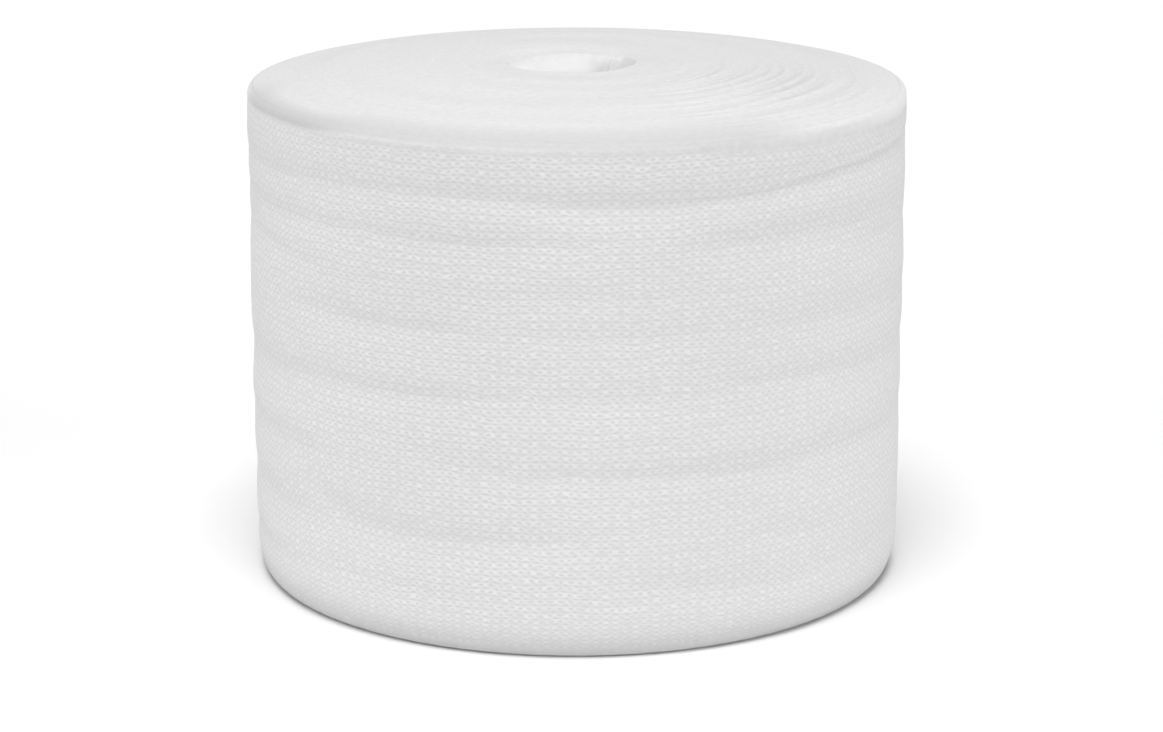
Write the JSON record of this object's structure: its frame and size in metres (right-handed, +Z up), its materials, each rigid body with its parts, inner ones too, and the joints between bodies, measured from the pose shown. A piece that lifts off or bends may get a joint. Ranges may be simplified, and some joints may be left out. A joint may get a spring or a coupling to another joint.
{
  "type": "tubular bandage roll",
  "caption": "White knitted cotton tube, pressed flat and wound into a soft roll with no core, standing on its end.",
  "frame": {"origin": "middle of the flat lower end, where the roll rests", "axes": "+Z up along the winding's axis; +X to the right and -Y towards the viewer in the picture; the tube's outer cut end is at the back, near +Y"},
  "size_m": [0.1334, 0.134, 0.1045],
  "materials": {
    "cotton_knit": "matt white plain cotton knit"
  },
  "bodies": {
    "root": {"bandage_roll": "cotton_knit"}
  },
  "joints": []
}
